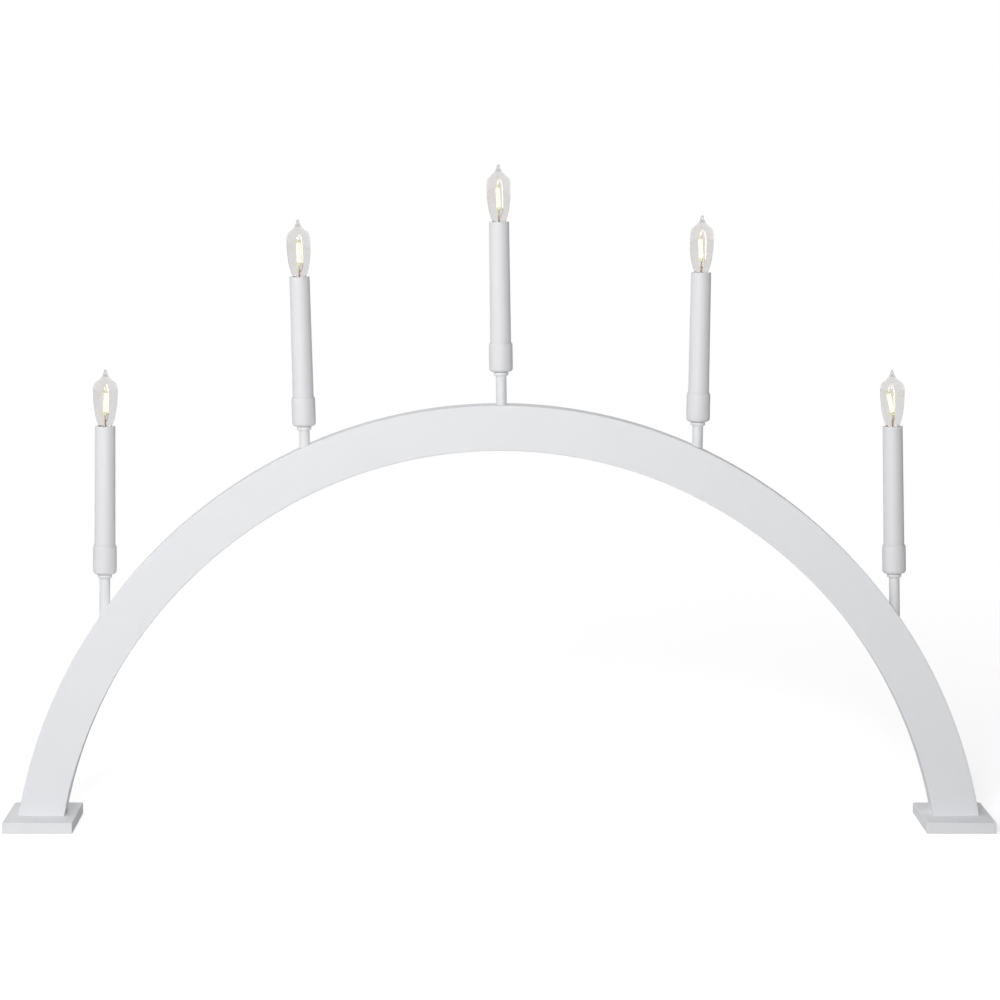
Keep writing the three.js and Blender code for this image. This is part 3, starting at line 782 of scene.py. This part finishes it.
@dataclass
class Candle:
    """One electric candle below its lamp: stem, lock nut, cup, sleeve and socket, around its own axis.

    Height 0 is where the axis meets the edge of the board.
    """

    number: int
    angle: float  # around the arch, from the crown
    rise: float  # from the board to the underside of the cup
    lean: float  # of the axis to the right
    lamp_turn: float  # the way the lamp faces once it is screwed home
    arch: Arch = field(default_factory=Arch)
    height: float = 98.5  # from the underside of the cup to the rim of the sleeve
    stem: float = 3.5
    stem_bore: float = 2.1
    stem_seat: float = 8.0
    nut: float = 4.75
    nut_height: float = 2.2
    nut_round: float = 0.35
    gap: float = 0.3
    cup: float = 7.798
    cup_bore: float = 7.248
    cup_height: float = 19.0
    cup_floor: float = 2.2
    cup_round: float = 2.3
    cup_lip: float = 0.35  # width of the slope at the upper edge
    cup_lip_height: float = 1.4
    cup_steps: int = 6  # faces across the cup's roundings
    sleeve_base: float = 6.948
    sleeve_rim: float = 6.598
    sleeve_bore: float = 5.718
    lip_bore: float = 5.165
    lip_depth: float = 2.2
    sleeve_boss: float = 10.0
    sleeve_round: float = 0.4
    steps: int = 64

    @property
    def place(self) -> Matrix:
        """Where the candle stands on the arch."""
        foot = self.arch.point(self.angle, 0.0)
        return Matrix.Translation(foot) @ Matrix.Rotation(math.radians(self.lean), 4, "Y")

    def turn(
        self, name: str, node: str, slot: Slot, finish: Finish, outline: Sequence[Corner], round_steps: int = 4
    ) -> None:
        """Turns a hollow piece and puts it in its place on the arch.

        Args:
            name: of the piece, without its number.
            node: that it stands for, without its number.
            slot: of the record.
            finish: of the piece.
            outline: its corners.
            round_steps: faces across each rounding.
        """
        work = Workpiece()
        work.turn(outline, self.steps, ring=True, round_steps=round_steps)
        work.place(self.place)
        work.publish(f"{name}_{self.number}", ROOT, slot, [finish], [f"{node}_{self.number}"])

    def build(self) -> None:
        """Turns the stem, the nut, the cup and the sleeve, and dresses the socket."""
        self.build_stem()
        self.build_cup()
        self.build_sleeve()
        dress(f"socket_shell_{self.number}", ROLLED_BRASS)
        dress(f"socket_contact_{self.number}", PHENOLIC)

    def build_stem(self) -> None:
        """Turns the hollow stem and the nut that locks it under the cup."""
        top = self.rise + self.cup_floor + self.sleeve_boss
        stem = [
            Corner(self.stem_bore, -self.stem_seat),
            Corner(self.stem, -self.stem_seat),
            Corner(self.stem, top),
            Corner(self.stem_bore, top),
        ]
        self.turn("steel_stem", "stem", Slot.STEM, POWDER_COAT, stem)
        top = self.rise - self.gap
        nut = [
            Corner(self.stem + self.gap, top - self.nut_height),
            Corner(self.nut, top - self.nut_height, self.nut_round),
            Corner(self.nut, top, self.nut_round),
            Corner(self.stem + self.gap, top),
        ]
        self.turn("ring_nut", "lock_nut", Slot.STEM, POWDER_COAT, nut)

    def build_cup(self) -> None:
        """Turns the cup, round below and sloped at its lip."""
        eye = self.stem + self.gap
        floor = self.rise + self.cup_floor
        rim = self.rise + self.cup_height
        cup = [
            Corner(eye, self.rise),
            Corner(self.cup, self.rise, self.cup_round),
            Corner(self.cup, rim - self.cup_lip_height, self.cup_lip),
            Corner(self.cup - self.cup_lip, rim, self.cup_lip * EASE),
            Corner(self.cup_bore, rim),
            Corner(self.cup_bore, floor),
            Corner(eye, floor),
        ]
        self.turn("candle_cup", "cup", Slot.CANDLE, POLYPROPYLENE, cup, self.cup_steps)

    def build_sleeve(self) -> None:
        """Turns the candle sleeve, which tapers a little towards its rim."""
        bottom = self.rise + self.cup_floor + self.gap
        rim = self.rise + self.height
        boss = bottom + self.sleeve_boss
        grip = self.stem + self.gap
        sleeve = [
            Corner(grip, bottom),
            Corner(self.sleeve_base, bottom),
            Corner(self.sleeve_rim, rim, self.sleeve_round),
            Corner(self.lip_bore, rim, self.sleeve_round / 2),
            Corner(self.lip_bore, rim - self.lip_depth),
            Corner(self.sleeve_bore, rim - self.lip_depth),
            Corner(self.sleeve_bore, boss),
            Corner(grip, boss),
        ]
        self.turn("candle_sleeve", "sleeve", Slot.CANDLE, POLYPROPYLENE, sleeve)


@dataclass
class Lamp:
    """A clear tipped lamp with a light-emitting filament. Height 0 is the rim of the sleeve that it screws into."""

    candle: Candle
    pitch: float = 1.814  # of the thread
    thread: float = 4.765  # over the crests
    thread_depth: float = 0.51
    thread_rows: int = 12  # in one pitch
    thread_run: float = 0.9
    cap_top: float = -2.0
    cap_length: float = 8.6
    cap_wall: float = 0.55
    cap_floor: float = 0.8
    cap_eye: float = 2.2
    cap_collar: float = 1.2
    cap_lead_in: float = 0.8
    glass: float = 8.0
    glass_wall: float = 0.6
    neck: float = 3.405
    neck_insert: float = 5.0
    flare: float = 6.4
    flare_height: float = 2.8
    belly_height: float = 12.6
    widest_height: float = 24.0
    round_height: float = 28.6
    shoulder: float = 4.1
    shoulder_height: float = 30.8
    shoulder_reach: float = 1.5
    # The height from which the bulb takes the tip's darker grey tint of painted shade.
    grey_tip_start: float = 32.9  # where the glass thickens to the tip
    pip: float = 1.1
    pip_base: float = 34.4
    pip_top: float = 35.7
    pip_point: float = 1.6
    curve_steps: int = 14
    press: float = 1.0
    press_base: float = -2.0
    press_height: float = 4.0
    flange: float = 2.505
    flange_thickness: float = 0.8
    wire: float = 0.3
    support_wire: float = 0.45  # radius as it looks in the filament's light
    filament: float = 0.9
    lit: float = 1.35  # radius of the lit part, as it looks with its light
    lit_round: float = 0.3375
    filament_foot: tuple[float, float, float] = (0.2, 0.0, 7.0)
    filament_head: tuple[float, float, float] = (-2.9, 0.0, 23.8)
    dark_foot: float = 2.4  # length of the coat below the lit part
    dark_head: float = 2.3  # and above it
    support: tuple[tuple[float, float, float], ...] = (
        (0.4, 0.4, 3.0),
        (1.5, 2.0, 6.5),
        (1.6, 2.2, 15.0),
        (1.4, 2.0, 24.0),
        (-0.6, 0.8, 27.0),
        (-2.9, 0.0, 23.8),
    )
    steps: int = 64
    wire_sides: int = 10

    @property
    def body(self) -> str:
        """Body that turns in the socket."""
        return f"lamp_{self.candle.number}"

    @property
    def place(self) -> Matrix:
        """Where the lamp sits on its candle."""
        return self.candle.place @ Matrix.Translation((0, 0, self.candle.rise + self.candle.height))

    @property
    def facing(self) -> Matrix:
        """The same, turned the way the lamp faces."""
        return self.place @ Matrix.Rotation(math.radians(self.candle.lamp_turn), 4, "Z")

    def publish(
        self, work: Workpiece, name: str, node: str, slot: Slot, finishes: Sequence[Finish]
    ) -> bpy.types.Object:
        """Puts a piece of the lamp on the body that turns. Its name and node get the candle's number."""
        number = self.candle.number
        return work.publish(f"{name}_{number}", self.body, slot, finishes, [f"{node}_{number}"])

    def build(self) -> None:
        """Makes the bulb, the mount inside it and the screw cap, and dresses the solder tip."""
        self.build_bulb()
        self.build_foot()
        self.build_wires()
        self.build_filament()
        self.build_cap()
        dress(f"lamp_tip_{self.candle.number}", PHENOLIC)

    def curve(self, *knots: tuple[float, float]) -> list[Corner]:
        """Samples a cubic curve, given its start, two handles and end as radius and height."""
        start, leave, arrive, end = (Vector((radius, 0, height)) for radius, height in knots)
        return [Corner(point.x, point.z) for point in interpolate_bezier(start, leave, arrive, end, self.curve_steps)]

    def wall(self, trim: float, end: tuple[float, float]) -> list[Corner]:
        """Draws one wall of the bulb, from its neck up to the pip.

        Args:
            trim: how much narrower than the outer wall it is.
            end: radius and height at which it ends.

        Returns:
            Corners of its outline.
        """
        widest = self.glass - trim
        shoulder = self.shoulder - trim
        reach = self.shoulder_reach
        return [
            Corner(self.neck - trim, -self.neck_insert),
            *self.curve(
                (self.neck - trim, self.cap_top),
                (self.flare - trim, self.flare_height),
                (widest, self.belly_height),
                (widest, self.widest_height),
            ),
            *self.curve(
                (widest, self.widest_height),
                (widest, self.round_height),
                (shoulder + reach, self.shoulder_height - reach),
                (shoulder, self.shoulder_height),
            )[1:],
            *self.curve(
                (shoulder, self.shoulder_height),
                (shoulder - reach, self.shoulder_height + reach),
                (self.pip - trim, self.pip_base),
                end,
            )[1:],
        ]

    def build_bulb(self) -> None:
        """Blows the bulb: an inner and an outer wall that meet at the neck, and a drawn tip."""
        inside = self.wall(self.glass_wall, (0.0, self.pip_base))
        outside = self.wall(0.0, (self.pip, self.pip_top))
        top = self.pip_top + self.pip_point
        half = self.pip_top + self.pip_point / 2
        tip = self.curve((self.pip, self.pip_top), (self.pip, half), (self.pip * EASE, top), (0.0, top))
        work = Workpiece()
        work.turn([*reversed(inside), *outside, *tip[1:]], self.steps)
        # The tip and the glass just below it take the darker grey tint of painted shade; the rest of the bulb carries
        # the paler one.
        work.paint(1, lambda place: place.z > self.grey_tip_start)
        work.place(self.place)
        piece = self.publish(work, "lamp_bulb", "lamp_glass", Slot.GLASS, [SHADE_GREY_GLASS, SHADE_GREY_TIP_GLASS])
        piece.visible_shadow = False

    def build_foot(self) -> None:
        """Turns the glass foot with the press that holds the wires."""
        work = Workpiece()
        bottom = -self.neck_insert
        work.turn(
            [
                Corner(0.0, bottom),
                Corner(self.flange, bottom, self.flange_thickness * EASE),
                Corner(self.flange, bottom + self.flange_thickness, self.flange_thickness * EASE),
                Corner(self.press, self.press_base),
                Corner(self.press, self.press_height, self.press / 2),
                Corner(0.0, self.press_height),
            ],
            self.steps // 2,
        )
        work.place(self.facing)
        piece = self.publish(work, "lamp_foot", "lamp_filament", Slot.GLASS, [PRESSED_GLASS])
        piece.visible_shadow = False

    def build_wires(self) -> None:
        """Bends the support wire over to the filament's head, and the lead-in wire up to its foot."""
        knots = [Vector(place) for place in self.support]
        path = [knots[0]]
        for index in range(len(knots) - 1):
            before, after = knots[max(index - 1, 0)], knots[min(index + 2, len(knots) - 1)]
            start, end = knots[index], knots[index + 1]
            leave = start + (end - before) * HANDLE
            arrive = end - (after - start) * HANDLE
            path += interpolate_bezier(start, leave, arrive, end, self.curve_steps // 2)[1:]
        work = Workpiece()
        work.sweep(path, self.support_wire, self.wire_sides)
        foot = Vector(self.filament_foot)
        # Above the filament's foot the wire carries a painted glow that stands in for the filament's light on it;
        # below, it is bare nickel.
        work.paint(1, lambda place: place.z < foot.z + self.dark_foot)
        work.place(self.facing)
        self.publish(work, "support_wire", "lamp_filament", Slot.FILAMENT, [PAINTED_GLOW_WIRE, NICKEL_WIRE])
        work = Workpiece()
        bend = Vector((foot.x / 2, 0.0, self.press_height))
        work.sweep([Vector((0, 0, self.press_base)), bend, foot], self.wire, self.wire_sides)
        work.place(self.facing)
        self.publish(work, "lead_in_wire", "lamp_filament", Slot.FILAMENT, [LEAD_IN_WIRE])

    def build_filament(self) -> None:
        """Makes the coated filament, lit between its two ends."""
        foot, head = Vector(self.filament_foot), Vector(self.filament_head)
        length = (head - foot).length
        low, high = self.dark_foot, length - self.dark_head
        work = Workpiece()
        work.turn(
            [
                Corner(0.0, 0.0),
                Corner(self.filament, 0.0, self.filament / 2),
                Corner(self.filament, low),
                Corner(self.lit, low, self.lit_round),
                Corner(self.lit, high, self.lit_round),
                Corner(self.filament, high),
                Corner(self.filament, length, self.filament / 2),
                Corner(0.0, length),
            ],
            self.steps // 2,
        )
        work.paint(1, lambda place: not low < place.z < high)
        lean = Vector((0, 0, 1)).rotation_difference(head - foot).to_matrix().to_4x4()
        work.place(self.facing @ Matrix.Translation(foot) @ lean)
        self.publish(work, "light_filament", "lamp_filament", Slot.FILAMENT, [LIT_PHOSPHOR, END_PHOSPHOR])

    def thread_share(self, place: Vector) -> float:
        """How far the thread stands out of its root at a place on the cap, from 0 to 1.

        Args:
            place: on the cap.

        Returns:
            The share.
        """
        wave = (1 + math.cos(2 * math.pi * place.z / self.pitch - math.atan2(place.y, place.x))) / 2
        top = self.cap_top - self.cap_collar
        bottom = self.cap_top - self.cap_length + self.cap_lead_in
        run = min(max(min(place.z - bottom, top - place.z) / self.thread_run, 0.0), 1.0)
        eased = run * run * (3 - 2 * run)  # level at both of its ends
        return wave * eased

    def build_cap(self) -> None:
        """Rolls the thread into the brass cap."""
        root = self.thread - self.thread_depth
        bottom = self.cap_top - self.cap_length
        rows = round(self.cap_length / self.pitch * self.thread_rows)
        side = [Corner(root, bottom + self.cap_length * row / rows) for row in range(rows + 1)]
        bore = root - self.cap_wall
        work = Workpiece()
        work.turn(
            [
                Corner(self.cap_eye, bottom),
                *side,
                Corner(bore, self.cap_top),
                Corner(bore, bottom + self.cap_floor),
                Corner(self.cap_eye, bottom + self.cap_floor),
            ],
            self.steps,
            ring=True,
        )
        for vert in work.mesh.verts:
            if math.hypot(vert.co.x, vert.co.y) > root - TOUCH:
                stretch = 1 + self.thread_depth * self.thread_share(vert.co) / root
                vert.co.xy = vert.co.xy * stretch
        work.place(self.place)
        self.publish(work, "screw_cap", "lamp_cap", Slot.BRASS, [ROLLED_BRASS])


@dataclass(frozen=True)
class Softbox:
    """A soft round lamp. Lengths are in metres and the power is in watts."""

    name: str
    place: tuple[float, float, float]
    size: float
    power: float
    mirrored: bool  # whether gloss shows it

    def build(self, aim: tuple[float, float, float]) -> None:
        """Hangs the lamp up, out of sight and out of what glass shows.

        Args:
            aim: the place that it looks at.
        """
        data = bpy.data.lights.new(self.name, "AREA")
        data.shape = "DISK"
        data.size = self.size
        data.energy = self.power
        lamp = bpy.data.objects.new(self.name, data)
        bpy.context.scene.collection.objects.link(lamp)
        lamp.visible_camera = False
        lamp.visible_transmission = False
        lamp.visible_glossy = self.mirrored
        lamp.location = self.place
        lamp.rotation_euler = (Vector(aim) - lamp.location).to_track_quat("-Z", "Y").to_euler()


@dataclass
class Studio:
    """A pale floor in a white room, soft lamps in front, to the left and behind, and the camera.

    Lengths are in metres.
    """

    camera_distance: float = 1.9232
    camera_height: float = 0.4646
    camera_side: float = -0.0007  # to the right of the middle
    camera_turn: float = 1.01  # around the object to the left
    camera_pitch: float = 7.27  # downwards
    camera_roll: float = 0.235  # anticlockwise, so that the picture turns clockwise
    camera_lens: float = 105.26  # focal length in millimetres
    room_light: float = 0.205  # the white room's strength as a light
    lamps: tuple[Softbox, ...] = (
        Softbox("key_light", (-0.31, -1.66, 0.8), size=0.5, power=14.6, mirrored=True),
        Softbox("left_light", (-1.63, -0.76, 1.46), size=1.4, power=10.6, mirrored=False),
        Softbox("rear_light", (-0.7, 1.75, 1.1), size=1.4, power=7.5, mirrored=False),
    )
    aim: tuple[float, float, float] = (0.0, 0.0, 0.2)
    floor_size: float = 12.0
    floor_colour: str = "#F2F2F2"
    shadow_near: float = 0.5  # distance from the middle within which the floor shows its shadow in full
    shadow_far: float = 1.1  # and beyond which it is plain white
    floor_glow: float = 0.58  # what the eye sees of the floor beyond its lit colour

    def build(self) -> None:
        """Sets up the room, the floor, the lamps and the camera."""
        self.build_room()
        self.build_floor()
        for lamp in self.lamps:
            lamp.build(self.aim)
        self.build_camera()
        bpy.context.scene.view_settings.view_transform = "Standard"

    def build_room(self) -> None:
        """Makes the room white to the eye, to gloss and to glass, and dimmer as a light."""
        world = bpy.data.worlds.new("white_room")
        bpy.context.scene.world = world
        world.use_nodes = True
        tree = world.node_tree
        tree.nodes.clear()
        rays = add_node(tree, "ShaderNodeLightPath").outputs
        either = {"operation": "MAXIMUM"}
        seen = add_node(tree, "ShaderNodeMath", either, {0: rays["Is Camera Ray"], 1: rays["Is Glossy Ray"]})
        through = {0: seen.outputs["Value"], 1: rays["Is Transmission Ray"]}
        white = add_node(tree, "ShaderNodeMath", either, through).outputs["Value"]
        span = {"To Min": self.room_light, "To Max": 1.0}
        level = add_node(tree, "ShaderNodeMapRange", span, {"Value": white}).outputs["Result"]
        room = add_node(tree, "ShaderNodeBackground", {"Color": linear(WHITE)}, {"Strength": level})
        add_node(tree, "ShaderNodeOutputWorld", None, {"Surface": room.outputs["Background"]})

    def build_floor(self) -> None:
        """Lays a pale floor that shows the object's shadow near it and is white further off."""
        mesh = bmesh.new()
        bmesh.ops.create_grid(mesh, x_segments=1, y_segments=1, size=self.floor_size / 2)
        data = bpy.data.meshes.new("studio_floor")
        mesh.to_mesh(data)
        mesh.free()
        floor = bpy.data.objects.new("studio_floor", data)
        bpy.context.scene.collection.objects.link(floor)
        material = bpy.data.materials.new("pale_floor")
        data.materials.append(material)
        material.use_nodes = True
        tree = material.node_tree
        tree.nodes.clear()
        rays = add_node(tree, "ShaderNodeLightPath").outputs
        place = add_node(tree, "ShaderNodeTexCoord").outputs["Object"]
        away = add_node(tree, "ShaderNodeVectorMath", {"operation": "LENGTH"}, {"Vector": place}).outputs["Value"]
        span = {"From Min": self.shadow_near, "From Max": self.shadow_far}
        fade = add_node(tree, "ShaderNodeMapRange", span, {"Value": away}).outputs["Result"]
        lit = add_node(tree, "ShaderNodeBsdfDiffuse", {"Color": linear(self.floor_colour)}).outputs["BSDF"]
        glow = add_node(tree, "ShaderNodeEmission", {"Color": linear(WHITE), "Strength": self.floor_glow})
        near = add_node(tree, "ShaderNodeAddShader", None, {0: lit, 1: glow.outputs["Emission"]}).outputs["Shader"]
        far = add_node(tree, "ShaderNodeEmission", {"Color": linear(WHITE), "Strength": 1.0}).outputs["Emission"]
        shown = add_node(tree, "ShaderNodeMixShader", None, {"Fac": fade, 1: near, 2: far}).outputs["Shader"]
        eye = {0: rays["Is Camera Ray"], 1: rays["Is Transmission Ray"]}
        seen = add_node(tree, "ShaderNodeMath", {"operation": "MAXIMUM"}, eye).outputs["Value"]
        surface = add_node(tree, "ShaderNodeMixShader", None, {"Fac": seen, 1: lit, 2: shown})
        add_node(tree, "ShaderNodeOutputMaterial", None, {"Surface": surface.outputs["Shader"]})

    def build_camera(self) -> None:
        """Sets the camera up a little above the crown, looking slightly down."""
        data = bpy.data.cameras.new("front_camera")
        data.lens = self.camera_lens
        camera = bpy.data.objects.new("front_camera", data)
        bpy.context.scene.collection.objects.link(camera)
        turn = Matrix.Rotation(math.radians(-self.camera_turn), 4, "Z")
        stand = Matrix.Translation((self.camera_side, -self.camera_distance, self.camera_height))
        tilt = Matrix.Rotation(math.radians(90 - self.camera_pitch), 4, "X")
        roll = Matrix.Rotation(math.radians(self.camera_roll), 4, "Z")
        camera.matrix_world = turn @ stand @ tilt @ roll
        bpy.context.scene.camera = camera


OUTER_ANGLE = 54.23  # of the two outer candles, in degrees from the crown
INNER_ANGLE = 24.33  # of the two inner ones

CANDLES = (
    Candle(1, -OUTER_ANGLE, rise=23.9, lean=0.9, lamp_turn=-95.0),
    Candle(2, -INNER_ANGLE, rise=13.3, lean=-1.5, lamp_turn=-85.0),
    Candle(3, 0.0, rise=21.6, lean=-1.0, lamp_turn=-75.0),
    Candle(4, INNER_ANGLE, rise=16.9, lean=0.5, lamp_turn=-70.0),
    Candle(5, OUTER_ANGLE, rise=25.1, lean=-1.8, lamp_turn=0.0),
)


def main() -> None:
    """Builds the candlestick piece by piece, and the studio around it."""
    logging.basicConfig(level=logging.INFO, format="%(name)s: %(message)s")
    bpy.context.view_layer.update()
    Studio().build()
    Arch().build()
    for side in Side:
        Foot(side).build()
    RearFittings().build()
    for candle in CANDLES:
        candle.build()
        Lamp(candle).build()


if __name__ == "__main__":
    main()
